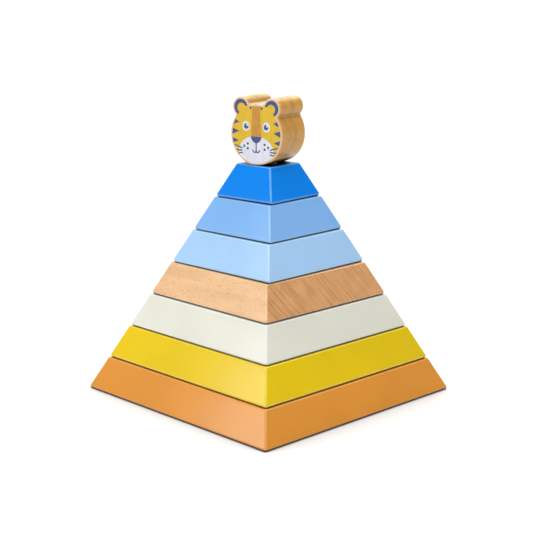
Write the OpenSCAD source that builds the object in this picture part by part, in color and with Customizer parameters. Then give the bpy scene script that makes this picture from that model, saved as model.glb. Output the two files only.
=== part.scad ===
// Square stacking pyramid: a base block with a fixed rod, six loose rings that
// slide over the rod, and an animal head that drops on the rod's free end.
// Millimetres. The origin is the centre of the base's underside, and Z is up.
// The front is -Y.

/* [Pyramid] */
// Width of the base block across its flats, before its edges are rounded
base_w = 173; // [170:1:190]
// Thickness of the base block and of each ring
block_h = 22; // [18:0.5:22]
// Lean of the sides away from the vertical, in degrees
side_slope = 25; // [20:0.5:25]
// Radius along every edge of the base block and the rings
edge_r = 1.5; // [0.8:0.1:2]
// Hairline gap between each block and the piece that stands on it
seam_gap = 0.05; // [0.02:0.01:0.2]

/* [Rod] */
// Diameter of the rod
rod_d = 12; // [10:0.5:13]
// Depth of the rod's glued end in the base block
rod_grip = 15; // [10:1:17]
// Height of the rod's free end above the top ring
rod_stand = 16; // [10:1:18]
// Radius round the rod's free end
rod_round = 3; // [1:0.5:4]
// Gap between the rod and each sliding piece, on the radius
slide_gap = 0.5; // [0.3:0.1:0.8]
// Glue gap round the rod's fixed end, on the radius
glue_gap = 0.05; // [0.03:0.01:0.1]
// Chamfer at both mouths of each ring's bore
bore_chamfer = 0.8; // [0.3:0.1:1.2]

/* [Head] */
// Radius of the round face
face_r = 20; // [18:0.5:21]
// Radius of each ear
ear_r = 6.6; // [5:0.2:7]
// Distance of each ear's centre to the side of the face's centre
ear_out = 11.8; // [10:0.2:13]
// Height of each ear's centre above the face's centre
ear_up = 17.4; // [16:0.2:18]
// Radius in the notch on both sides of each ear
notch_r = 1.5; // [1:0.5:5]
// Thickness of the head from face to back
head_t = 27.5; // [24:0.5:30]
// Depth of the flat that the chin stands on
chin_flat = 0.4; // [0.2:0.1:1]
// Space left above the rod's end inside the head
head_bore_spare = 2; // [1:0.5:4]

/* [How the loose pieces stand turned] */
// Turn of the pale blue ring on the rod, in degrees
pale_blue_turn = 1; // [-45:0.5:45]
// Turn of the mid blue ring on the rod, in degrees
mid_blue_turn = 2; // [-45:0.5:45]
// Turn of the bright blue ring on the rod, in degrees
bright_blue_turn = 4; // [-45:0.5:45]
// Turn of the head on the rod, in degrees
head_turn = 12; // [-45:0.5:45]

/* [Hidden] */

$fn = 96;
// Points round each bead, a multiple of 4
bead_sides = 24;
block_count = 7;
stack_h = block_count * block_h;
rod_foot = block_h - rod_grip;
rod_length = stack_h + rod_stand - rod_foot;
bore_r = rod_d / 2 + slide_gap;
head_z = stack_h + face_r - chin_flat;
ear_lean = atan2(ear_up, ear_out);
ear_distance = norm([ear_out, ear_up]);
// A notch's arc touches the face's circle and the ear's circle. Its centre lies this far
// along the line from the face's centre to the ear's, and this far to the side of it.
notch_along = ((face_r + notch_r) ^ 2 - (ear_r + notch_r) ^ 2 + ear_distance ^ 2) / (2 * ear_distance);
notch_across = sqrt((face_r + notch_r) ^ 2 - notch_along ^ 2);
// Half the angle between an ear's two notches, seen from the face's centre and from the ear's
notch_swing = atan2(notch_across, notch_along);
ear_swing = atan2(notch_across, notch_along - ear_distance);
outer_notch = (face_r + notch_r) * [cos(ear_lean - notch_swing), sin(ear_lean - notch_swing)];
inner_notch = (face_r + notch_r) * [cos(ear_lean + notch_swing), sin(ear_lean + notch_swing)];
// Flats along each arc of the head's outline
face_steps = 40;
notch_steps = 8;
ear_steps = 24;
crown_steps = 4;
// Small overlap that lets one cut run past a face
past = 1;

// Height of the underside and of the top of one block, counted up from the base block
function underside_z(place) = place * block_h;
function top_z(place) = (place + 1) * block_h - seam_gap;

// Half the pyramid's width at height z
function half_width(z) = base_w / 2 - z * tan(side_slope);

// Half the distance between bead centres at height z, so that beads touch the sides
function bead_place(z) = half_width(z) - edge_r / cos(side_slope);

// A sphere with real points at its poles, so a hull of beads keeps its exact height
module bead() {
    rotate_extrude($fn = bead_sides)
        polygon([
            for (step = [0 : bead_sides / 2])
                let (angle = step * 360 / bead_sides)
                edge_r * [sin(angle), cos(angle)]
        ]);
}

// One solid block of the pyramid, counted up from the base block, which is 0
module block(place) {
    hull()
        for (z = [underside_z(place) + edge_r, top_z(place) - edge_r])
            for (x = [-1, 1], y = [-1, 1])
                translate([x * bead_place(z), y * bead_place(z), z])
                    bead();
}

// What is cut from a ring: its bore, with a chamfer at each mouth
module ring_bore(place) {
    translate([0, 0, underside_z(place) - past])
        cylinder(h = block_h + 2 * past, r = bore_r);
    translate([0, 0, underside_z(place) - past])
        cylinder(h = bore_chamfer + past, r1 = bore_r + bore_chamfer + past, r2 = bore_r);
    translate([0, 0, top_z(place) - bore_chamfer])
        cylinder(h = bore_chamfer + past, r1 = bore_r, r2 = bore_r + bore_chamfer + past);
}

// One loose ring, turned on the rod
module ring(place, turn = 0) {
    rotate([0, 0, turn])
        difference() {
            block(place);
            ring_bore(place);
        }
}

module base_block() {
    color("#E59A4B")
        difference() {
            block(0);
            translate([0, 0, rod_foot])
                cylinder(h = rod_grip + past, r = rod_d / 2 + glue_gap);
        }
}

module centre_rod() {
    color("#DDB88C")
        translate([0, 0, rod_foot])
            rotate_extrude() {
                square([rod_d / 2 - rod_round, rod_length]);
                square([rod_d / 2, rod_length - rod_round]);
                translate([rod_d / 2 - rod_round, rod_length - rod_round])
                    intersection() {
                        circle(rod_round);
                        square(rod_round);
                    }
            }
}

module yellow_ring() {
    color("#E4C700")
        ring(1);
}

module white_ring() {
    color("#E3E3DA")
        ring(2);
}

module natural_ring() {
    color("#ECB883")
        ring(3);
}

module pale_blue_ring() {
    color("#B0D3FC")
        ring(4, pale_blue_turn);
}

module mid_blue_ring() {
    color("#8DC0F7")
        ring(5, mid_blue_turn);
}

module bright_blue_ring() {
    color("#0391F8")
        ring(6, bright_blue_turn);
}

// Points along an arc, without its last point, which starts the next arc
function arc(centre, r, from, to, steps) = [
    for (step = [0 : steps - 1])
        let (angle = from + (to - from) * step / steps)
        centre + r * [cos(angle), sin(angle)]
];

// The right half of the head's outline, from the chin up round the ear to the crown
half_outline = concat(
    arc([0, 0], face_r, -90, ear_lean - notch_swing, face_steps),
    arc(outer_notch, notch_r, 180 + ear_lean - notch_swing, 180 + ear_lean - ear_swing, notch_steps),
    arc([ear_out, ear_up], ear_r, ear_lean - ear_swing, ear_lean + ear_swing, ear_steps),
    arc(inner_notch, notch_r, 180 + ear_lean + ear_swing, 180 + ear_lean + notch_swing, notch_steps),
    arc([0, 0], face_r, ear_lean + notch_swing, 90, crown_steps)
);

// The head's block lying on its back, with its face's centre on the Z axis
module head_block() {
    last = len(half_outline) - 1;
    linear_extrude(head_t)
        polygon(concat(
            half_outline,
            [[0, face_r]],
            [for (i = [last : -1 : 1]) [-half_outline[i].x, half_outline[i].y]]
        ));
}

module tiger_head() {
    color("#DDAE7C")
        rotate([0, 0, head_turn])
            difference() {
                translate([0, head_t / 2, head_z])
                    rotate([90, 0, 0])
                        head_block();
                translate([-face_r, -head_t, stack_h - 2 * chin_flat])
                    cube([2 * face_r, 2 * head_t, 2 * chin_flat]);
                translate([0, 0, stack_h - past])
                    cylinder(h = rod_stand + head_bore_spare + past, r = bore_r);
            }
}

base_block();
centre_rod();
yellow_ring();
white_ring();
natural_ring();
pale_blue_ring();
mid_blue_ring();
bright_blue_ring();
tiger_head();
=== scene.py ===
"""Looks for the stacking pyramid: painted blocks, a beech rod and a printed tiger head.

Metres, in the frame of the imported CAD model: +Z up, the front is -Y.
"""

import math

import bmesh
import bpy
from mathutils import Matrix, Vector


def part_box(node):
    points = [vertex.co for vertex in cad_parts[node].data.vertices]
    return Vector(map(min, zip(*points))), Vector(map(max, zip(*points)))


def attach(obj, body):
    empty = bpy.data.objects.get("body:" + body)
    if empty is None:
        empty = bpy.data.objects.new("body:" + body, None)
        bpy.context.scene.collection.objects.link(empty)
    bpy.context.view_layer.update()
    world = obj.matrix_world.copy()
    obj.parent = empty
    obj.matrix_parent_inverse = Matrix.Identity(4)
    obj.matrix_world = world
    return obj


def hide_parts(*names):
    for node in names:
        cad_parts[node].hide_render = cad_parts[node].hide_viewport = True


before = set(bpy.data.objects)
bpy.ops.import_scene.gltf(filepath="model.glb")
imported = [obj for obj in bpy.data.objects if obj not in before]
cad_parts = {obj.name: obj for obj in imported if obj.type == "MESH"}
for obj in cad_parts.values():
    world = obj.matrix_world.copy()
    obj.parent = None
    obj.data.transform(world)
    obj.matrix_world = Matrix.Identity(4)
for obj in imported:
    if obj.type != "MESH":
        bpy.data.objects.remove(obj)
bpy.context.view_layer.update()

MM = 0.001
QUARTER = math.pi / 2
FULL_TURN = 2 * math.pi
UP = Vector((0, 0, 1))

# ---------------------------------------------------------------- sizes

# Sizes of the design that the frame's boxes don't give
SIDE_SLOPE = math.radians(25)
EDGE_R = 1.5 * MM
BORE_CHAMFER = 0.8 * MM
SLIDE_GAP = 0.5 * MM
ROD_ROUND = 3 * MM
FACE_R = 20 * MM
EAR_R = 6.6 * MM
EAR_OUT = 11.8 * MM
EAR_UP = 17.4 * MM
NOTCH_R = 1.5 * MM
HEAD_THICK = 27.5 * MM
CHIN_FLAT = 0.4 * MM
HEAD_BORE_SPARE = 2 * MM
# The rounding of the head's front and back edges, which the CAD leaves square
HEAD_ROUND = 1 * MM
# How far each turned piece stands turned on the rod
TURNS = {
    "pale_blue_ring": math.radians(1),
    "mid_blue_ring": math.radians(2),
    "bright_blue_ring": math.radians(4),
    "tiger_head": math.radians(12),
}

# Sizes read from the frame, and what follows from them
base_low, base_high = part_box("base_block")
rod_low, rod_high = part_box("centre_rod")
head_low, head_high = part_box("tiger_head")
base_width = base_high.x - base_low.x
rod_r = (rod_high.x - rod_low.x) / 2
bore_r = rod_r + SLIDE_GAP
stack_top = head_low.z
total_height = head_high.z
face_centre_z = stack_top + FACE_R - CHIN_FLAT
head_front = HEAD_THICK / 2
# Half the width that the flat sides reach at the floor, before the bottom edge is rounded
floor_half_width = (
    base_high.x - EDGE_R + EDGE_R * math.tan(SIDE_SLOPE) + EDGE_R / math.cos(SIDE_SLOPE)
)

# ---------------------------------------------------------------- colour and node helpers

# The Mix node has its sockets once for each kind of data, and these are the ones for colours
MIX_FACTOR = 0
MIX_FIRST = 6
MIX_SECOND = 7
MIX_RESULT = 2


def linear(red, green, blue):
    """An sRGB colour given in steps of 255, as the linear RGBA that shaders take."""

    def channel(value):
        value /= 255
        return value / 12.92 if value <= 0.04045 else ((value + 0.055) / 1.055) ** 2.4

    return (channel(red), channel(green), channel(blue), 1.0)


def scaled(colour, factor):
    """The same colour, lighter or darker by a factor."""
    return tuple(min(1.0, part * factor) for part in colour[:3]) + (1.0,)


def paler(colour):
    """The same colour where the lacquer is thin: brighter and a little washed out. On the edges it is partly
    a painted highlight.
    """
    brighter, washed = 1.6, 0.2
    return tuple((1 - washed) * min(1.0, part * brighter) + washed for part in colour[:3]) + (1.0,)


class Nodes:
    """A short way to add nodes to a node tree and to join them."""

    def __init__(self, owner):
        owner.use_nodes = True
        self.tree = owner.node_tree

    def add(self, kind, sockets=None, **settings):
        """A new node with its settings, and its input sockets set to values or joined to outputs."""
        node = self.tree.nodes.new("ShaderNode" + kind)
        for name, value in settings.items():
            setattr(node, name, value)
        for name, value in (sockets or {}).items():
            self.put(node.inputs[name], value)
        return node

    def put(self, socket, value):
        """Joins an output to a socket, or sets the socket to a plain value."""
        if isinstance(value, bpy.types.NodeSocket):
            self.tree.links.new(value, socket)
        else:
            socket.default_value = value

    def ramp(self, value, span, to=(0.0, 1.0)):
        """A value spread from one span to another, smoothly and without overshoot."""
        sockets = {
            "Value": value, "From Min": span[0], "From Max": span[1], "To Min": to[0], "To Max": to[1],
        }
        return self.add("MapRange", sockets, interpolation_type="SMOOTHSTEP").outputs["Result"]

    def math(self, operation, *values):
        """One number worked out from others."""
        return self.add("Math", dict(enumerate(values)), operation=operation).outputs[0]


class Finish(Nodes):
    """The nodes of one material."""

    def __init__(self, name):
        self.material = bpy.data.materials.new(name)
        super().__init__(self.material)
        self.shader = self.tree.nodes["Principled BSDF"]

    def look(self, **sockets):
        """Sets the shader's own sockets. An underscore in a name stands for a space."""
        for name, value in sockets.items():
            self.put(self.shader.inputs[name.replace("_", " ")], value)

    def place(self, scale=(1, 1, 1), turn=(0, 0, 0)):
        """Object coordinates in metres, stretched and turned."""
        coordinates = self.add("TexCoord").outputs["Object"]
        sockets = {"Vector": coordinates, "Rotation": turn, "Scale": scale}
        return self.add("Mapping", sockets).outputs["Vector"]

    def noise(self, vector, scale, detail=3.0, roughness=0.5):
        """Cloudy noise from 0 to 1, with a scale in waves for each metre of the coordinates."""
        sockets = {"Vector": vector, "Scale": scale, "Detail": detail, "Roughness": roughness}
        return self.add("TexNoise", sockets).outputs["Fac"]

    def mix(self, factor, first, second, blend="MIX"):
        """The first colour with the second one laid over it, as far as the factor says."""
        node = self.add("Mix", data_type="RGBA", blend_type=blend)
        self.put(node.inputs[MIX_FACTOR], factor)
        self.put(node.inputs[MIX_FIRST], first)
        self.put(node.inputs[MIX_SECOND], second)
        return node.outputs[MIX_RESULT]

    def attribute(self, name):
        """A number stored on the mesh, which is 0 where the mesh doesn't have it."""
        return self.add("Attribute", attribute_name=name).outputs["Fac"]

    def bump(self, height, strength, distance, below=None):
        """The surface's normal tilted by a height, on top of the bump below."""
        sockets = {"Height": height, "Strength": strength, "Distance": distance}
        if below is not None:
            sockets["Normal"] = below
        return self.add("Bump", sockets).outputs["Normal"]

    def painted_occlusion_shade(self, reach, depth=1.0):
        """Painted shade from how much other surfaces within reach close a point in, from 0 up to the depth.
        """
        open_air = self.add("AmbientOcclusion", {"Distance": reach}, samples=8).outputs["AO"]
        return self.ramp(open_air, CREASE_SPAN, to=(depth, 0.0))

    def seam(self):
        """Painted shade in the joins between blocks and under the head, on the faces marked as outside. All
        others stay clean.
        """
        return self.math("MULTIPLY", self.attribute("outside"), self.painted_occlusion_shade(SEAM_REACH))

    def clear_coat(self, gloss, painted_crease_shade):
        """The lacquer's gloss: none where the painted shade is full, and little where it is seen edge-on."""
        facing = self.add("LayerWeight", {"Blend": 0.5}).outputs["Facing"]
        edge_on = self.ramp(facing, EDGE_ON_SPAN, to=(gloss, EDGE_ON_SHARE * gloss))
        return self.math("MULTIPLY", edge_on, self.ramp(painted_crease_shade, (0.0, 1.0), to=(1.0, 0.0)))


# ---------------------------------------------------------------- materials

# How near two surfaces are before painted shade darkens the join between them
SEAM_REACH = 3.6 * MM
# The same for the painted shade in the notches beside the head's ears and under its chin
NOTCH_REACH = 5.5 * MM
# The same for the painted shadow on the floor beside the base block, and the most it darkens there
FLOOR_REACH = 30 * MM
FLOOR_DEPTH = 0.5
# The colour of the painted shade and shadow, deep between two surfaces
PAINTED_SHADE = (0.022, 0.008, 0.002, 1)
# The share of open air round a point, from where the painted shade is full to where there is none
CREASE_SPAN = (0.35, 0.97)
# How edge-on a surface is seen where the gloss fades, and the share of it that is left
EDGE_ON_SPAN = (0.8, 0.92)
EDGE_ON_SHARE = 0.1
COAT_IOR = 1.5

# Parts of a noise's range that a look is spread over
MIDDLE = (0.3, 0.7)
WIDE_MIDDLE = (0.25, 0.75)

# The paint's noises, in waves for each metre: the wood's grain along X and across it, how the
# lacquer flowed and clouded, and where its edges show wear and are paler, partly as a painted highlight
GRAIN_WAVES = (60, 900, 900)
FLOW_WAVES = 260
PAINT_CLOUD_WAVES = 22
WEAR_WAVES = 180
GRAIN_SPAN = (0.55, 0.8)


def paint(name, colour, gloss=0.85, thin_and_highlit_edge=0.3):
    """Satin lacquer over wood: uneven, paler on the edges, with a faint grain under it and painted shade in
    the joins. The pale edges are thin lacquer and wear, and partly a painted highlight.
    """
    nodes = Finish(name)
    grain = nodes.noise(nodes.place(scale=GRAIN_WAVES), 1.0, detail=4)
    flow = nodes.noise(nodes.place(), FLOW_WAVES, detail=2)
    cloud = nodes.noise(nodes.place(), PAINT_CLOUD_WAVES)
    wear = nodes.ramp(nodes.noise(nodes.place(), WEAR_WAVES), MIDDLE, to=(0.7, 1.0))
    worn_and_highlit = nodes.math("MULTIPLY", nodes.attribute("edge"), wear)
    seam = nodes.seam()

    dull, bright, grain_tone = (scaled(colour, factor) for factor in (0.965, 1.03, 0.72))
    tone = nodes.mix(nodes.ramp(cloud, MIDDLE), dull, bright)
    tone = nodes.mix(nodes.ramp(grain, GRAIN_SPAN, to=(0.0, 0.05)), tone, grain_tone)
    # Paler on the edges: thin lacquer and wear, and partly a painted highlight
    tone = nodes.mix(nodes.math("MULTIPLY", worn_and_highlit, thin_and_highlit_edge), tone, paler(colour))
    # Painted shade in the joins between blocks and under the head
    tone = nodes.mix(seam, tone, PAINTED_SHADE)
    surface = nodes.bump(grain, strength=0.16, distance=0.05 * MM)
    surface = nodes.bump(flow, strength=0.22, distance=0.12 * MM, below=surface)
    nodes.look(
        Base_Color=tone,
        Roughness=nodes.ramp(cloud, WIDE_MIDDLE, to=(0.34, 0.42)),
        Specular_IOR_Level=0.06,
        Coat_Weight=nodes.clear_coat(gloss, seam),
        Coat_IOR=COAT_IOR,
        Coat_Roughness=0.16,
        Normal=surface,
    )
    return nodes.material


# Steamed beech, from its light wood to its late wood
BEECH = (linear(236, 192, 144), linear(196, 142, 90))
# Sanded edges are paler than the rest. On the head the same paleness covers the front and back faces, partly
# as a painted highlight
SANDED_AND_HIGHLIT_EDGE = linear(246, 212, 176)
# End grain soaks up the lacquer and turns darker and warmer
END_GRAIN_TINT = (0.88, 0.73, 0.57, 1)
# The wood is a solid texture, drawn out along its fibres
WOOD_STRETCH = {"X": (0.16, 1, 1), "Z": (1, 1, 0.16)}
# How the solid is turned, which sets the slant of the growth layers
WOOD_TURN = {"X": (math.radians(56), 0.02, 0.015), "Z": (0.02, 0.015, 0.5)}
# The growth layers are drawn out again, along the fibres and across them
LAYER_STRETCH = {"X": (0.2, 0.025, 1), "Z": (1, 0.025, 0.2)}
# The wood's noises, in waves for each metre before they are drawn out
GROWTH_WAVES = 1200
BAND_WAVES = 240
FLECK_WAVES = 1900
PORE_WAVES = 3600
WOOD_CLOUD_WAVES = 120
# The parts of those noises that show
GROWTH_SPAN = (0.52, 0.68)
BAND_SPAN = (0.45, 0.62)
FLECK_SPAN = (0.56, 0.72)
PORE_SPAN = (0.62, 0.78)
WOOD_CLOUD_SPAN = (0.3, 0.72)
# How squarely a face cuts the fibres, from where end grain starts to show to where it is full
END_GRAIN_SPAN = (0.6, 0.85)


def beech(
    name, fibres, wood=BEECH, end_grain_and_top_light=END_GRAIN_TINT, gloss=0.8, pale_edge=0.3, streaks=0.12, notched=False,
):
    """Beech under clear lacquer: flecks and pores along the fibres, growth lines on the end grain.

    The fibres run along the given axis, X or Z. A notched piece gets painted shade in its notches
    and at its chin, and any other one in the seams between blocks.
    """
    nodes = Finish(name)
    solid = nodes.place(scale=WOOD_STRETCH[fibres], turn=WOOD_TURN[fibres])
    layers = nodes.add("Mapping", {"Vector": solid, "Scale": LAYER_STRETCH[fibres]}).outputs["Vector"]
    growth = nodes.noise(layers, GROWTH_WAVES, roughness=0.65)
    bands = nodes.noise(layers, BAND_WAVES, detail=2)
    flecks = nodes.ramp(nodes.noise(solid, FLECK_WAVES, detail=2), FLECK_SPAN)
    pores = nodes.ramp(nodes.noise(solid, PORE_WAVES, detail=1), PORE_SPAN)
    cloud = nodes.noise(solid, WOOD_CLOUD_WAVES, detail=4)
    normal = nodes.add("SeparateXYZ", {"Vector": nodes.add("NewGeometry").outputs["Normal"]})
    end_grain = nodes.ramp(nodes.math("ABSOLUTE", normal.outputs[fibres]), END_GRAIN_SPAN)
    lines = nodes.math("MULTIPLY", end_grain, nodes.ramp(growth, GROWTH_SPAN, to=(0.0, 0.6)))
    painted_crease_shade = nodes.painted_occlusion_shade(NOTCH_REACH) if notched else nodes.seam()

    light, late = wood
    fleck_tone, pore_tone, line_tone = (scaled(late, factor) for factor in (0.62, 0.5, 0.45))
    tone = nodes.mix(nodes.ramp(cloud, WOOD_CLOUD_SPAN), nodes.mix(0.3, light, late), light)
    tone = nodes.mix(nodes.ramp(bands, BAND_SPAN, to=(0.0, streaks)), tone, late)
    tone = nodes.mix(nodes.math("MULTIPLY", flecks, 0.5), tone, fleck_tone)
    tone = nodes.mix(nodes.math("MULTIPLY", pores, 0.3), tone, pore_tone)
    # Paler on sanded edges, and on the head's front and back faces, partly as a painted highlight
    tone = nodes.mix(nodes.math("MULTIPLY", nodes.attribute("edge"), pale_edge), tone, SANDED_AND_HIGHLIT_EDGE)
    # End grain darker and warmer on the ring and rod; on the head the faces looking up or down turn lighter
    # and paler instead, painted light on its top
    tone = nodes.mix(end_grain, tone, end_grain_and_top_light, blend="MULTIPLY")
    tone = nodes.mix(lines, tone, line_tone)
    # Painted shade in the head's notches and under its chin, or in the joins between blocks
    tone = nodes.mix(painted_crease_shade, tone, PAINTED_SHADE)
    surface = nodes.bump(flecks, strength=0.25, distance=-0.06 * MM)
    surface = nodes.bump(cloud, strength=0.1, distance=0.05 * MM, below=surface)
    nodes.look(
        Base_Color=tone,
        Roughness=nodes.ramp(cloud, WIDE_MIDDLE, to=(0.36, 0.48)),
        IOR=1.35,
        Coat_Weight=nodes.clear_coat(gloss, painted_crease_shade),
        Coat_IOR=COAT_IOR,
        Coat_Roughness=0.2,
        Normal=surface,
    )
    return nodes.material


# The ink's noises, in waves for each metre: the wood's flecks, drawn out upwards, and its cover
SPECKLE_STRETCH = (1, 1, 0.3)
SPECKLE_WAVES = 2400
SPECKLE_SPAN = (0.52, 0.72)
COVER_WAVES = 300


def ink(name, colour):
    """Printed ink on lacquered wood: slightly uneven cover, and the wood's flecks show through."""
    nodes = Finish(name)
    wood = nodes.place(scale=SPECKLE_STRETCH)
    speckle = nodes.ramp(nodes.noise(wood, SPECKLE_WAVES, detail=1), SPECKLE_SPAN)
    cover = nodes.noise(nodes.place(), COVER_WAVES)
    thin, full, fleck_tone = (scaled(colour, factor) for factor in (0.95, 1.05, 0.7))
    tone = nodes.mix(nodes.ramp(cover, MIDDLE), thin, full)
    tone = nodes.mix(nodes.math("MULTIPLY", speckle, 0.22), tone, fleck_tone)
    nodes.look(
        Base_Color=tone,
        Roughness=nodes.ramp(cover, MIDDLE, to=(0.42, 0.5)),
        Specular_IOR_Level=0.3,
        Normal=nodes.bump(speckle, strength=0.12, distance=-0.03 * MM),
    )
    return nodes.material


def floor_material():
    """Matt white studio floor, hardly uneven, with a painted soft shadow where the base block stands."""
    cloud_waves = 9
    greys = [(0.76, 0.76, 0.76, 1), (0.78, 0.78, 0.78, 1)]
    nodes = Finish("floor_white")
    tone = nodes.mix(nodes.noise(nodes.place(), cloud_waves), *greys)
    nodes.look(
        # Painted shadow round the base block
        Base_Color=nodes.mix(nodes.painted_occlusion_shade(FLOOR_REACH, FLOOR_DEPTH), tone, PAINTED_SHADE),
        Roughness=0.9,
        Specular_IOR_Level=0.1,
        Emission_Color=(1, 1, 1, 1),
        Emission_Strength=0.05,
    )
    return nodes.material


# ---------------------------------------------------------------- mesh helpers


def piece(name, mesh_builder, material, smooth=True):
    """A new object from a bmesh, with its material."""
    mesh = bpy.data.meshes.new(name)
    for face in mesh_builder.faces:
        face.smooth = smooth
    bmesh.ops.recalc_face_normals(mesh_builder, faces=mesh_builder.faces)
    mesh_builder.to_mesh(mesh)
    mesh_builder.free()
    made = bpy.data.objects.new(name, mesh)
    bpy.context.scene.collection.objects.link(made)
    made.data.materials.append(material)
    return made


def join_loops(mesh, first, second):
    """A band of faces between two closed rows of vertices."""
    for step in range(len(first)):
        after = (step + 1) % len(first)
        mesh.faces.new((first[step], first[after], second[after], second[step]))


def close_flat_faces(mesh):
    """Splits the many-sided faces into triangles. They may be hollow, so their normals come first."""
    mesh.normal_update()
    bmesh.ops.triangulate(mesh, faces=[face for face in mesh.faces if len(face.verts) > 4])


def weigh_normals(made):
    """Keeps large flat faces flat next to their rounded edges."""
    modifier = made.modifiers.new("flat_faces", "WEIGHTED_NORMAL")
    modifier.keep_sharp = True
    modifier.weight = 100


def stand_for(made, node, body):
    """Makes a piece take a CAD node's place."""
    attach(made, body)
    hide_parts(node)


def between(first, second, share):
    """A unit vector on the great circle from one unit vector to another."""
    angle = math.acos(max(-1.0, min(1.0, first.dot(second))))
    if angle == 0:
        return first.copy()
    blend = first * math.sin((1 - share) * angle) + second * math.sin(share * angle)
    return (blend / math.sin(angle)).normalized()


def arc(centre, radius, start, end, steps):
    """Points (x, z) along an arc, without the last one, which starts the next arc."""
    points = []
    for step in range(steps):
        angle = start + (end - start) * step / steps
        points.append((centre[0] + radius * math.cos(angle), centre[1] + radius * math.sin(angle)))
    return points


# ---------------------------------------------------------------- blocks

ROUND_STEPS = 6
BORE_STEPS = 96
# Edges that turn further than this stay sharp
ROD_SHARP_ANGLE = math.radians(40)
HEAD_SHARP_ANGLE = math.radians(35)
# How soon an edge is fully pale, from lacquer wear and partly a painted highlight, as it turns away from the
# flat faces beside it
EDGE_GAIN = 14
# The directions that the four sides face, from the front round to the left
SIDES = [
    Vector((
        math.sin(quarter * QUARTER) * math.cos(SIDE_SLOPE),
        -math.cos(quarter * QUARTER) * math.cos(SIDE_SLOPE),
        math.sin(SIDE_SLOPE),
    ))
    for quarter in range(4)
]


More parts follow.
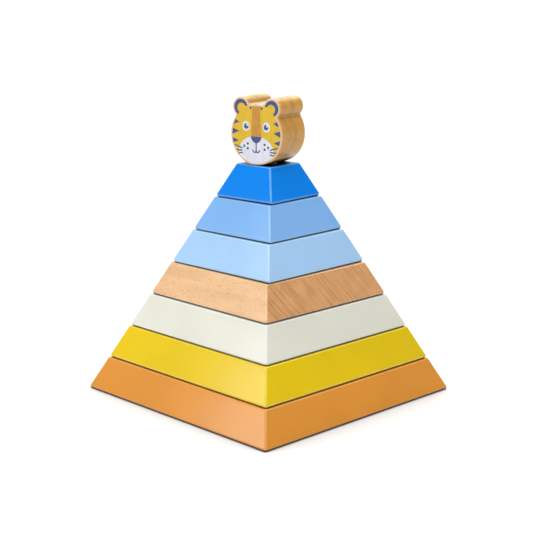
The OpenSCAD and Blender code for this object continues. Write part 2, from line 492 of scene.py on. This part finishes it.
class Block:
    """The mesh of a square block with sloping sides, with every edge rounded to a true radius.

    The rounding is built from the block's six face directions: each corner is a patch of a
    sphere between three of them, and each edge a strip of a cylinder between two. The faces seen
    while the toy stands stacked are marked as outside.
    """

    def __init__(self, low_z, high_z):
        self.low_z = low_z
        self.high_z = high_z
        self.mesh = bmesh.new()
        self.edge_layer = self.mesh.verts.layers.float.new("edge")
        self.outside_layer = self.mesh.faces.layers.float.new("outside")
        # The heights of the edges' bead centres, with the direction that the flat face there looks
        self.caps = {low_z + EDGE_R: -UP, high_z - EDGE_R: UP}
        self.known = {}
        self.add_shell()

    def vertex(self, corner, normal):
        """The vertex that stands out from a bead's centre along a normal, made once."""
        key = tuple(round(part, 9) for part in (*corner, *normal))
        if key not in self.known:
            made = self.mesh.verts.new(corner + EDGE_R * normal)
            largest = max(normal.dot(flat) for flat in (*SIDES, *self.caps.values()))
            made[self.edge_layer] = min(1.0, (1 - largest) * EDGE_GAIN)
            self.known[key] = made
        return self.known[key]

    def bead(self, quarter, z):
        """The bead's centre at the corner between side quarter and the next side."""
        reach = floor_half_width - z * math.tan(SIDE_SLOPE) - EDGE_R / math.cos(SIDE_SLOPE)
        return Vector((reach, -reach, z)) @ Matrix.Rotation(-quarter * QUARTER, 3, "Z")

    def add_corner(self, corner, a, b, c):
        """A spherical triangle between three face directions."""
        rows = []
        for row in range(ROUND_STEPS + 1):
            left = between(a, b, row / ROUND_STEPS)
            right = between(a, c, row / ROUND_STEPS)
            rows.append([
                self.vertex(corner, between(left, right, step / row) if row else left)
                for step in range(row + 1)
            ])
        for upper, lower in zip(rows, rows[1:]):
            for step in range(len(upper)):
                self.mesh.faces.new((upper[step], lower[step], lower[step + 1]))
                if step + 1 < len(upper):
                    self.mesh.faces.new((upper[step], lower[step + 1], upper[step + 1]))

    def add_edge(self, first, second, a, b):
        """A strip of a cylinder between two corners."""
        for step in range(ROUND_STEPS):
            here, there = (between(a, b, (step + more) / ROUND_STEPS) for more in (0, 1))
            self.mesh.faces.new((
                self.vertex(first, here), self.vertex(second, here),
                self.vertex(second, there), self.vertex(first, there),
            ))

    def add_shell(self):
        """The four sides and every rounded edge and corner. All of them are outside."""
        low, high = self.caps
        for quarter in range(4):
            side, following = SIDES[quarter], SIDES[(quarter + 1) % 4]
            here = {z: self.bead(quarter, z) for z in self.caps}
            before = {z: self.bead(quarter - 1, z) for z in self.caps}
            for z, cap in self.caps.items():
                self.add_corner(here[z], cap, side, following)
                self.add_edge(before[z], here[z], side, cap)
            self.add_edge(here[low], here[high], side, following)
            self.mesh.faces.new((
                self.vertex(before[low], side), self.vertex(here[low], side),
                self.vertex(here[high], side), self.vertex(before[high], side),
            ))
        for face in self.mesh.faces:
            face[self.outside_layer] = 1.0

    def circle(self, radius, z):
        """One row of the bore's vertices."""
        angles = [step * FULL_TURN / BORE_STEPS for step in range(BORE_STEPS)]
        return [
            self.mesh.verts.new((radius * math.cos(angle), radius * math.sin(angle), z))
            for angle in angles
        ]

    def cap_corners(self, z):
        """The four corners of the flat face at one of the caps' heights."""
        return [self.vertex(self.bead(quarter, z), self.caps[z]) for quarter in range(4)]

    def close_round(self, z, hole, outside=False):
        """The flat face at one of the caps' heights, in four equal parts round a hole."""
        corners = self.cap_corners(z)
        part = BORE_STEPS // 4
        for quarter in range(4):
            start = quarter * part - part // 2
            rim = [hole[(start + step) % BORE_STEPS] for step in range(part + 1)]
            face = self.mesh.faces.new([corners[quarter - 1], corners[quarter], *reversed(rim)])
            face[self.outside_layer] = float(outside)

    def join_bore(self, loops):
        """The bore's walls through rows of vertices, with a sharp edge at each row."""
        for first, second in zip(loops, loops[1:]):
            join_loops(self.mesh, first, second)
        for loop in loops:
            for step in range(BORE_STEPS):
                self.mesh.edges.get((loop[step], loop[(step + 1) % BORE_STEPS])).smooth = False

    def add_bore(self, bare_top):
        """The bore through a ring, with a chamfer at each mouth."""
        mouth_r = bore_r + BORE_CHAMFER
        loops = [
            self.circle(mouth_r, self.high_z),
            self.circle(bore_r, self.high_z - BORE_CHAMFER),
            self.circle(bore_r, self.low_z + BORE_CHAMFER),
            self.circle(mouth_r, self.low_z),
        ]
        low, high = self.caps
        self.close_round(low, loops[-1])
        self.close_round(high, loops[0], outside=bare_top)
        self.join_bore(loops)

    def add_blind_hole(self, radius, bottom_z):
        """A hole from the top down to a height. The underside stays whole."""
        loops = [self.circle(radius, self.high_z), self.circle(radius, bottom_z)]
        low, high = self.caps
        self.mesh.faces.new(self.cap_corners(low))
        self.close_round(high, loops[0])
        self.join_bore(loops)
        self.mesh.faces.new(loops[-1])


def ring(body, material, bare_top=False):
    """One loose ring of the stack, in its CAD node's place. A bare top counts as outside, so it takes the
    painted shadow under the head.
    """
    node = body + "_ring"
    low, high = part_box(node)
    block = Block(low.z, high.z)
    block.add_bore(bare_top)
    turn = Matrix.Rotation(TURNS.get(node, 0), 3, "Z")
    bmesh.ops.rotate(block.mesh, cent=(0, 0, 0), matrix=turn, verts=block.mesh.verts)
    made = piece(body + "_block", block.mesh, material)
    weigh_normals(made)
    stand_for(made, node, body)


def base(material):
    """The base block, with the blind hole that the rod is glued in."""
    block = Block(base_low.z, base_high.z)
    block.add_blind_hole(rod_r, rod_low.z)
    made = piece("base_orange_block", block.mesh, material)
    weigh_normals(made)
    stand_for(made, "base_block", "base")


def rod(material):
    """The rod, turned with a rounded free end."""
    end_steps = 8
    neck_r = rod_r - ROD_ROUND
    end = arc((neck_r, rod_high.z - ROD_ROUND), ROD_ROUND, 0, QUARTER, end_steps)
    profile = [(0.0, rod_low.z), (rod_r, rod_low.z), *end, (neck_r, rod_high.z), (0.0, rod_high.z)]
    mesh = bmesh.new()
    path = [mesh.verts.new((radius, 0, z)) for radius, z in profile]
    spans = [mesh.edges.new(pair) for pair in zip(path, path[1:])]
    bmesh.ops.spin(
        mesh, geom=path + spans, cent=(0, 0, 0), axis=UP, angle=FULL_TURN, steps=BORE_STEPS, use_merge=True,
    )
    bmesh.ops.remove_doubles(mesh, verts=mesh.verts, dist=0.001 * MM)
    made = piece("rod_dowel", mesh, material)
    made.data.set_sharp_from_angle(angle=ROD_SHARP_ANGLE)
    weigh_normals(made)
    stand_for(made, "centre_rod", "base")


# ---------------------------------------------------------------- tiger head

# Flats along each arc of the head's outline
FACE_STEPS = 60
NOTCH_STEPS = 12
EAR_STEPS = 36
CROWN_STEPS = 6


def mirrored(shape):
    """The same points on the other side of the nose, in the opposite order."""
    return [(-x, z) for x, z in reversed(shape)]


def head_outline(inset):
    """Points (x, z) round the face and its ears, anticlockwise from the chin, drawn in by an inset."""
    face_r, ear_r, notch_r = FACE_R - inset, EAR_R - inset, NOTCH_R + inset
    distance = math.hypot(EAR_OUT, EAR_UP)
    lean = math.atan2(EAR_UP, EAR_OUT)
    # A notch's arc touches the face's circle and the ear's circle
    reach = face_r + notch_r
    along = (reach**2 - (ear_r + notch_r) ** 2 + distance**2) / (2 * distance)
    across = math.sqrt(reach**2 - along**2)
    swing = math.atan2(across, along)
    ear_swing = math.atan2(across, along - distance)
    outer, inner = (
        (reach * math.cos(lean + way * swing), reach * math.sin(lean + way * swing)) for way in (-1, 1)
    )
    half = arc((0, 0), face_r, -QUARTER, lean - swing, FACE_STEPS)
    half += arc(outer, notch_r, math.pi + lean - swing, math.pi + lean - ear_swing, NOTCH_STEPS)
    half += arc((EAR_OUT, EAR_UP), ear_r, lean - ear_swing, lean + ear_swing, EAR_STEPS)
    half += arc(inner, notch_r, math.pi + lean + ear_swing, math.pi + lean + swing, NOTCH_STEPS)
    half += arc((0, 0), face_r, lean + swing, QUARTER, CROWN_STEPS)
    return half + [(0, face_r)] + mirrored(half[1:])


def head_mesh():
    """The head's slab, its front and back edges rounded, and its chin cut flat."""
    mesh = bmesh.new()
    edge_layer = mesh.verts.layers.float.new("edge")
    steps = 5
    # The edge number is 1 on the front and back faces and 0 on the sides, so those faces come out pale,
    # partly as a painted highlight
    layers = [
        (HEAD_ROUND * (1 - math.sin(turn)), -head_front + HEAD_ROUND * (1 - math.cos(turn)), math.cos(turn))
        for turn in (step * QUARTER / steps for step in range(steps + 1))
    ]
    layers += [(inset, -depth, edge) for inset, depth, edge in reversed(layers)]
    loops = []
    for inset, depth, edge in layers:
        outline = head_outline(inset)
        loop = [mesh.verts.new((x, depth, max(z + face_centre_z, stack_top))) for x, z in outline]
        for corner in loop:
            corner[edge_layer] = edge
        loops.append(loop)
    for first, second in zip(loops, loops[1:]):
        join_loops(mesh, first, second)
    mesh.faces.new(loops[0])
    mesh.faces.new(list(reversed(loops[-1])))
    close_flat_faces(mesh)
    return mesh


def drill(made):
    """Cuts the head's blind bore, up from its chin."""
    mesh = bmesh.new()
    bore_top = rod_high.z + HEAD_BORE_SPARE
    bmesh.ops.create_cone(
        mesh, cap_ends=True, segments=BORE_STEPS, radius1=bore_r, radius2=bore_r,
        depth=2 * (bore_top - stack_top), matrix=Matrix.Translation((0, 0, stack_top)),
    )
    cutter = piece("head_drill", mesh, made.data.materials[0])
    cut = made.modifiers.new("bore", "BOOLEAN")
    cut.object = cutter
    cut.operation = "DIFFERENCE"
    cut.solver = "EXACT"
    bored = bpy.data.meshes.new_from_object(made.evaluated_get(bpy.context.evaluated_depsgraph_get()))
    made.modifiers.clear()
    made.data = bored
    bpy.data.objects.remove(cutter)


def head(material):
    """The head with its blind bore, in its CAD node's place."""
    made = piece("head_slab", head_mesh(), material)
    drill(made)
    made.data.transform(Matrix.Rotation(TURNS["tiger_head"], 4, "Z"))
    made.data.set_sharp_from_angle(angle=HEAD_SHARP_ANGLE)
    weigh_normals(made)
    stand_for(made, "tiger_head", "head")


# ---------------------------------------------------------------- print helpers

# The print is laid out in millimetres: x to the right of the nose, z above the top of the stack
PRINT_MARGIN = 1.5
PRINT_R = FACE_R / MM - PRINT_MARGIN
PRINT_CENTRE = (FACE_R - CHIN_FLAT) / MM
# How far each level of ink stands proud of the one below it
INK_LEVEL = 0.02
LINE_WIDTH = 0.85
SMALL_STEPS = 20
LARGE_STEPS = 40


def printed_outline():
    """The printed field's edge: the head's outline, drawn in by the margin."""
    return [(x / MM, z / MM + PRINT_CENTRE) for x, z in head_outline(PRINT_MARGIN * MM)]


def edge_angle(z):
    """The angle of the field's right edge at height z."""
    return math.asin((z - PRINT_CENTRE) / PRINT_R)


def print_edge(start, end, steps):
    """Points on the field's edge, below the ears, between two angles about its centre."""
    points = arc((0, 0), PRINT_R, start, end, steps) + arc((0, 0), PRINT_R, end, end, 1)
    return [(x, z + PRINT_CENTRE) for x, z in points]


def print_plates(name, shapes, level, material):
    """Closed plates of ink, a few hundredths of a millimetre thick, on the face."""
    mesh = bmesh.new()
    for shape in shapes:
        back = [mesh.verts.new((x, 0, z)) for x, z in shape]
        front = [mesh.verts.new((x, -level * INK_LEVEL, z)) for x, z in shape]
        mesh.faces.new(back)
        mesh.faces.new(list(reversed(front)))
        join_loops(mesh, front, back)
    close_flat_faces(mesh)
    bmesh.ops.scale(mesh, vec=(MM,) * 3, verts=mesh.verts)
    bmesh.ops.translate(mesh, vec=(0, -head_front, stack_top), verts=mesh.verts)
    turn = Matrix.Rotation(TURNS["tiger_head"], 3, "Z")
    bmesh.ops.rotate(mesh, cent=(0, 0, 0), matrix=turn, verts=mesh.verts)
    made = piece(name, mesh, material, smooth=False)
    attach(made, "head")


def both(shape):
    """A shape and its mirror image on the other side of the nose."""
    return [shape, mirrored(shape)]


def disc(x, z, half_x, half_z, steps):
    """A round or oval spot."""
    return [(x + half_x * px, z + half_z * pz) for px, pz in arc((0, 0), 1, 0, FULL_TURN, steps)]


def curve(start, middle, end, steps=10):
    """Points along a quadratic curve."""
    points = []
    for step in range(steps + 1):
        share = step / steps
        weights = ((1 - share) ** 2, 2 * share * (1 - share), share**2)
        points.append(tuple(
            sum(weight * point[axis] for weight, point in zip(weights, (start, middle, end)))
            for axis in (0, 1)
        ))
    return points


def stroke(points, cap_steps=8):
    """A round-ended line along a few points."""
    half = LINE_WIDTH / 2
    sides = ([], [])
    for place, (x, z) in enumerate(points):
        before, after = points[max(place - 1, 0)], points[min(place + 1, len(points) - 1)]
        heading = math.atan2(after[1] - before[1], after[0] - before[0])
        for side, way in zip(sides, (1, -1)):
            side.append((x - way * half * math.sin(heading), z + way * half * math.cos(heading)))
    start = math.atan2(points[0][1] - points[1][1], points[0][0] - points[1][0])
    end = math.atan2(points[-1][1] - points[-2][1], points[-1][0] - points[-2][0])
    end_cap = arc(points[-1], half, end + QUARTER, end - QUARTER, cap_steps)
    start_cap = arc(points[0], half, start + QUARTER, start - QUARTER, cap_steps)
    return sides[0][:-1] + end_cap + list(reversed(sides[1]))[:-1] + start_cap


# ---------------------------------------------------------------- the tiger's print

PUPIL_X = 7.65
PUPIL_R = 1.8
EYE_Z = 24.9
DOT_R = 0.85
# Where each cheek's marks point to, and the heights that they span on the field's edge
CHEEK_MARKS = [
    ((13.2, 27.3), (25.7, 29.0)),
    ((13.2, 21.4), (19.1, 23.1)),
    ((13.3, 15.3), (13.8, 17.0)),
]
# The inner and outer end of each whisker
WHISKERS = [
    ((11.0, 10.6), (16.3, 12.2)),
    ((11.0, 9.1), (15.0, 9.1)),
    ((10.9, 7.5), (13.2, 7.15)),
]
DOTS = [(6.5, 13.7), (9.2, 12.05), (6.5, 10.65)]


def stripe():
    """The tan stripe from the crown down to the nose, which widens on its way."""
    crown_gap = 0.2
    right = [(2.9, PRINT_CENTRE + PRINT_R - crown_gap), (3.1, 31.5), (4.0, 18.4)]
    return list(reversed(right + mirrored(right)))


def muzzle():
    """The white muzzle, from under the nose out over the cheeks and down round the chin."""
    nose_root, cheek, cheek_end = (0, 18.6), (12.9, 11.6), (13.2, 7.3)
    half = curve(nose_root, (9.5, 18.6), cheek) + curve(cheek, (13.9, 9.6), cheek_end)[1:]
    half += print_edge(edge_angle(cheek_end[1]), -QUARTER, 24)[1:]
    return list(reversed(half + mirrored(half[1:-1])))


def eye_white():
    """The white of the right eye, a little taller than wide."""
    centre_x, half_x, half_z = 7.8, 2.8, 3.15
    return disc(centre_x, EYE_Z, half_x, half_z, LARGE_STEPS)


def brow_mark():
    """The small dark wedge at the crown's edge, beside the stripe."""
    return [(3.1, 37.7), (4.1, 35.3), (5.3, 37.2)]


def ear_mark():
    """The dark arc in the right ear, thickest in the middle of its sweep."""
    centre = (EAR_OUT / MM, EAR_UP / MM + PRINT_CENTRE)
    start, end = math.radians(-69), math.radians(169)
    outer_r, inner_r, swell = 5.1, 3.5, 1.1
    steps = 36
    outer = arc(centre, outer_r, start, end, steps) + arc(centre, outer_r, end, end, 1)
    inner = []
    for step in range(steps + 1):
        share = step / steps
        radius = inner_r - swell * math.sin(math.pi * share)
        angle = start + (end - start) * share
        inner.append((centre[0] + radius * math.cos(angle), centre[1] + radius * math.sin(angle)))
    return outer + list(reversed(inner))


def cheek_mark(tip, span):
    """A pointed mark in from the right edge of the field."""
    low, high = span
    return [tip] + print_edge(edge_angle(low), edge_angle(high), 6)


def nose():
    """The dark nose, straight on top and rounded below."""
    side = curve((4.15, 18.5), (3.6, 15.0), (0, 14.2))
    return side + mirrored(side[:-1])


def mouth():
    """The line down from the nose, and the two curls of the mouth."""
    curl = curve((0, 9.3), (0.9, 7.2), (2.7, 9.65))
    return [stroke([(0, 14.4), (0, 9.2)])] + both(stroke(curl))


def navy_marks():
    """Everything that is printed in navy."""
    shapes = both(brow_mark()) + both(ear_mark())
    shapes += both(disc(PUPIL_X, EYE_Z, PUPIL_R, PUPIL_R, LARGE_STEPS))
    for tip, span in CHEEK_MARKS:
        shapes += both(cheek_mark(tip, span))
    shapes += [nose()] + mouth()
    for inner, outer in WHISKERS:
        shapes += both(stroke([inner, outer]))
    for x, z in DOTS:
        shapes += both(disc(x, z, DOT_R, DOT_R, SMALL_STEPS))
    return shapes


def glints():
    """The light in each pupil, on the upper right in both."""
    shift, glint_z, half_x, half_z = 0.75, 25.75, 0.75, 0.8
    return [disc(x + shift, glint_z, half_x, half_z, SMALL_STEPS) for x in (-PUPIL_X, PUPIL_X)]


def tiger_print(inks):
    """The tiger's face, printed on the front of the head, level on level."""
    print_plates("print_field", [printed_outline()], 1, inks["yellow"])
    print_plates("print_stripe", [stripe()], 2, inks["tan"])
    print_plates("print_muzzle", [muzzle()], 2, inks["white"])
    print_plates("print_eye_whites", both(eye_white()), 2, inks["white"])
    print_plates("print_navy", navy_marks(), 3, inks["navy"])
    print_plates("print_glints", glints(), 4, inks["white"])


# ---------------------------------------------------------------- studio

CAMERA_AZIMUTH = math.radians(45.7)
CAMERA_DROP = math.radians(13.16)
CAMERA_DISTANCE = 5 * base_width
CAMERA_SIDE = 1.22 * MM
CAMERA_HEIGHT = 1.43 * total_height
CAMERA_LENS = 88.4
SENSOR_WIDTH = 36
# Level directions, as the camera sees them
TOWARDS_CAMERA = Vector((math.sin(CAMERA_AZIMUTH), -math.cos(CAMERA_AZIMUTH), 0))
TO_THE_RIGHT = Vector((math.cos(CAMERA_AZIMUTH), math.sin(CAMERA_AZIMUTH), 0))

FLOOR_RADIUS = 90 * base_width
WORLD_STRENGTH = 0.2
# The bright backdrop: how squarely a direction points at it, and how high it ends
BACKDROP_STRENGTH = 1.7
BACKDROP_SPAN = (0.5, 0.8)
BACKDROP_TOP = (0.4, 0.6)
OVERHEAD_STRENGTH = 3.15
OVERHEAD_SPREAD = math.radians(84)
# The softboxes' places and sizes, in base widths. The key's height is above the floor, and the
# crest's above the stack.
KEY_LEFT, KEY_NEAR, KEY_HEIGHT = 6, 1.3, 2.15
KEY_SIZE = (2.3, 2.6)
KEY_RADIANCE = 4.2
CREST_NEAR, CREST_HEIGHT = 3.5, 5.4
CREST_SIZE = (1.8, 1.6)
CREST_RADIANCE = 6


def floor():
    """A wide pale floor with its edge out of every view."""
    mesh = bmesh.new()
    bmesh.ops.create_circle(mesh, cap_ends=True, radius=FLOOR_RADIUS, segments=64)
    made = piece("studio_floor", mesh, floor_material())


def softbox(name, place, aim, size, radiance):
    """A soft light that faces a point, with its width and height in base widths."""
    width, height = (side * base_width for side in size)
    data = bpy.data.lights.new(name, "AREA")
    data.shape = "RECTANGLE"
    data.size = width
    data.size_y = height
    data.energy = radiance * math.pi * width * height
    made = bpy.data.objects.new(name, data)
    made.location = place
    made.rotation_mode = "QUATERNION"
    made.rotation_quaternion = (aim - place).to_track_quat("-Z", "Y")
    bpy.context.scene.collection.objects.link(made)


def surroundings():
    """White all round for the camera. For the object, dim with a bright backdrop behind it."""
    world = bpy.data.worlds.new("studio")
    nodes = Nodes(world)
    direction = nodes.add("TexCoord").outputs["Generated"]
    away = nodes.add("VectorMath", {0: direction, 1: -TOWARDS_CAMERA}, operation="DOT_PRODUCT")
    height = nodes.add("SeparateXYZ", {0: direction}).outputs["Z"]
    behind = nodes.ramp(away.outputs["Value"], BACKDROP_SPAN)
    glow = nodes.math("MULTIPLY", behind, nodes.ramp(height, BACKDROP_TOP, to=(1.0, 0.0)))
    strength = nodes.ramp(glow, (0.0, 1.0), to=(WORLD_STRENGTH, BACKDROP_STRENGTH))
    seen = nodes.math("MAXIMUM", strength, nodes.add("LightPath").outputs["Is Camera Ray"])
    background = nodes.tree.nodes["Background"]
    nodes.put(background.inputs["Color"], (1, 1, 1, 1))
    nodes.put(background.inputs["Strength"], seen)
    bpy.context.scene.world = world


def studio():
    """The surroundings, an overhead glow, a softbox on the left and one high over the camera."""
    surroundings()
    data = bpy.data.lights.new("overhead", "SUN")
    data.energy = OVERHEAD_STRENGTH
    data.angle = OVERHEAD_SPREAD
    bpy.context.scene.collection.objects.link(bpy.data.objects.new("overhead", data))

    middle = Vector((0, 0, total_height / 2))
    key = middle - TO_THE_RIGHT * KEY_LEFT * base_width + TOWARDS_CAMERA * KEY_NEAR * base_width
    key.z = KEY_HEIGHT * base_width
    softbox("key", key, middle, KEY_SIZE, KEY_RADIANCE)
    top = Vector((0, 0, stack_top))
    crest = top + TOWARDS_CAMERA * CREST_NEAR * base_width + UP * CREST_HEIGHT * base_width
    softbox("crest", crest, top, CREST_SIZE, CREST_RADIANCE)


def camera():
    """The camera: off the pyramid's front right corner, looking a little down."""
    data = bpy.data.cameras.new("camera")
    data.sensor_width = SENSOR_WIDTH
    data.lens = CAMERA_LENS
    made = bpy.data.objects.new("camera", data)
    bpy.context.scene.collection.objects.link(made)
    made.location = TOWARDS_CAMERA * CAMERA_DISTANCE + TO_THE_RIGHT * CAMERA_SIDE
    made.location.z = CAMERA_HEIGHT
    made.rotation_euler = (QUARTER - CAMERA_DROP, 0, CAMERA_AZIMUTH)
    bpy.context.scene.camera = made


# ---------------------------------------------------------------- build

PAINTS = {
    "yellow": linear(226, 193, 4),
    "white": linear(222, 222, 209),
    "pale_blue": linear(163, 202, 240),
    "mid_blue": linear(126, 178, 234),
}
ORANGE = linear(219, 144, 52)
BRIGHT_BLUE = linear(0, 129, 231)
HEAD_WOOD = (linear(215, 158, 66), linear(142, 86, 28))
# Painted light: the head's faces that look up or down turn lighter and paler, standing in for the light on
# its top
HEAD_PAINTED_TOP_LIGHT = (1.3, 1.9, 4.8, 1)
INKS = {
    "yellow": linear(221, 182, 40),
    "tan": linear(201, 141, 56),
    "white": linear(223, 223, 232),
    "navy": linear(62, 82, 130),
}

bpy.context.scene.view_settings.view_transform = "Standard"
base(paint("orange_lacquer", ORANGE))
rod(beech("rod_wood", "Z"))
for colour_name, colour in PAINTS.items():
    ring(colour_name, paint(colour_name + "_lacquer", colour))
ring("bright_blue", paint("bright_blue_lacquer", BRIGHT_BLUE, gloss=0.3, thin_and_highlit_edge=0.7), bare_top=True)
ring("natural", beech("ring_wood", "X"))
head(beech(
    "head_wood", "Z", wood=HEAD_WOOD, end_grain_and_top_light=HEAD_PAINTED_TOP_LIGHT,
    gloss=0.35, pale_edge=0.65, streaks=0.2, notched=True,
))
tiger_print({ink_name: ink("ink_" + ink_name, colour) for ink_name, colour in INKS.items()})
floor()
camera()
studio()

bpy.context.view_layer.update()
